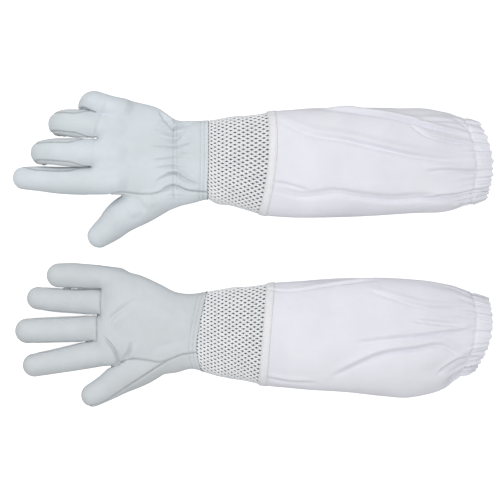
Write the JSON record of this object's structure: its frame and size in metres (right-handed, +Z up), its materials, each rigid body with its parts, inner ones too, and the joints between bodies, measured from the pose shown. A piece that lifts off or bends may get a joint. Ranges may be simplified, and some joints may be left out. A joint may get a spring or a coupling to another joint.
{
  "type": "beekeeping gloves",
  "caption": "Pair of beekeeping gloves with soft goatskin hands, ventilated mesh cuffs and long canvas gauntlets gathered at the open end.",
  "frame": {"origin": "middle of the pair's footprint, on the surface it lies on", "axes": "+X from the fingertips towards the open ends of the sleeves, +Y from the left glove towards the right glove, +Z up from the surface"},
  "size_m": [0.5019, 0.3323, 0.055],
  "materials": {
    "leather": "smooth goatskin grain",
    "leather_side": "smooth goatskin grain",
    "mesh_net": "knitted polyester net",
    "mesh_core": "open spacer net",
    "canvas": "plain weave cotton",
    "elastic": "knitted elastic tape"
  },
  "bodies": {
    "right_sleeve": {"right_mesh_outer": "mesh_net", "right_mesh_spacer": "mesh_core", "right_mesh_inner": "mesh_net", "right_canvas_sleeve": "canvas", "right_mesh_seam_band": "canvas", "right_end_casing": "canvas", "right_end_elastic": "elastic"},
    "right_hand": {"right_back_panel": "leather", "right_palm_panel": "leather", "right_thumb_gusset": "leather_side", "right_cuff_facing": "leather_side", "right_wrist_elastic": "elastic"},
    "right_thumb": {"right_thumb_back": "leather", "right_thumb_front": "leather"},
    "right_index": {"right_index_back": "leather", "right_index_front": "leather", "right_index_fourchette": "leather_side"},
    "right_middle": {"right_middle_back": "leather", "right_middle_front": "leather", "right_middle_fourchette": "leather_side"},
    "right_ring": {"right_ring_back": "leather", "right_ring_front": "leather", "right_ring_fourchette": "leather_side"},
    "right_little": {"right_little_back": "leather", "right_little_front": "leather", "right_little_fourchette": "leather_side"},
    "left_sleeve": {"left_mesh_outer": "mesh_net", "left_mesh_spacer": "mesh_core", "left_mesh_inner": "mesh_net", "left_canvas_sleeve": "canvas", "left_mesh_seam_band": "canvas", "left_end_casing": "canvas", "left_end_elastic": "elastic"},
    "left_hand": {"left_back_panel": "leather", "left_palm_panel": "leather", "left_thumb_gusset": "leather_side", "left_cuff_facing": "leather_side", "left_wrist_elastic": "elastic"},
    "left_thumb": {"left_thumb_back": "leather", "left_thumb_front": "leather"},
    "left_index": {"left_index_back": "leather", "left_index_front": "leather", "left_index_fourchette": "leather_side"},
    "left_middle": {"left_middle_back": "leather", "left_middle_front": "leather", "left_middle_fourchette": "leather_side"},
    "left_ring": {"left_ring_back": "leather", "left_ring_front": "leather", "left_ring_fourchette": "leather_side"},
    "left_little": {"left_little_back": "leather", "left_little_front": "leather", "left_little_fourchette": "leather_side"}
  },
  "joints": [
    {"name": "right_wrist", "type": "hinge", "parent": "right_sleeve", "child": "right_hand", "pos_m": [-0.046, 0.09335, 0.034], "axis": [0, 1, 0], "range_deg": [0, 30]},
    {"name": "right_thumb_root", "type": "hinge", "parent": "right_hand", "child": "right_thumb", "pos_m": [-0.11135, 0.04888, 0.0435], "axis": [-0.9873, 0.1587, 0], "range_deg": [0, 30]},
    {"name": "right_index_knuckle", "type": "hinge", "parent": "right_hand", "child": "right_index", "pos_m": [-0.1655, 0.0725, 0.0466], "axis": [0.0262, 0.9997, 0], "range_deg": [0, 30]},
    {"name": "right_middle_knuckle", "type": "hinge", "parent": "right_hand", "child": "right_middle", "pos_m": [-0.1615, 0.1018, 0.0499], "axis": [0.0209, 0.9998, 0], "range_deg": [0, 45]},
    {"name": "right_ring_knuckle", "type": "hinge", "parent": "right_hand", "child": "right_ring", "pos_m": [-0.1575, 0.1294, 0.0504], "axis": [0.0262, 0.9997, 0], "range_deg": [0, 50]},
    {"name": "right_little_knuckle", "type": "hinge", "parent": "right_hand", "child": "right_little", "pos_m": [-0.154, 0.1542, 0.0494], "axis": [0.0349, 0.9994, 0], "range_deg": [0, 50]},
    {"name": "left_lift", "type": "slide", "parent": "right_sleeve", "child": "left_sleeve", "axis": [0, 0, 1], "range_m": [0, 0.2]},
    {"name": "left_wrist", "type": "hinge", "parent": "left_sleeve", "child": "left_hand", "pos_m": [-0.046, -0.08775, 0.034], "axis": [0, 1, 0], "range_deg": [0, 40]},
    {"name": "left_thumb_root", "type": "hinge", "parent": "left_hand", "child": "left_thumb", "pos_m": [-0.11675, -0.12768, 0.0354], "axis": [-0.9979, 0.0647, 0], "range_deg": [0, 45]},
    {"name": "left_index_knuckle", "type": "hinge", "parent": "left_hand", "child": "left_index", "pos_m": [-0.1676, -0.111, 0.0263], "axis": [-0.1357, 0.9907, 0], "range_deg": [0, 75]},
    {"name": "left_middle_knuckle", "type": "hinge", "parent": "left_hand", "child": "left_middle", "pos_m": [-0.1647, -0.0832, 0.0259], "axis": [-0.0314, 0.9995, 0], "range_deg": [0, 75]},
    {"name": "left_ring_knuckle", "type": "hinge", "parent": "left_hand", "child": "left_ring", "pos_m": [-0.1635, -0.0557, 0.0253], "axis": [0.0576, 0.9983, 0], "range_deg": [0, 75]},
    {"name": "left_little_knuckle", "type": "hinge", "parent": "left_hand", "child": "left_little", "pos_m": [-0.1625, -0.0299, 0.0233], "axis": [0.0628, 0.998, 0], "range_deg": [0, 75]}
  ]
}
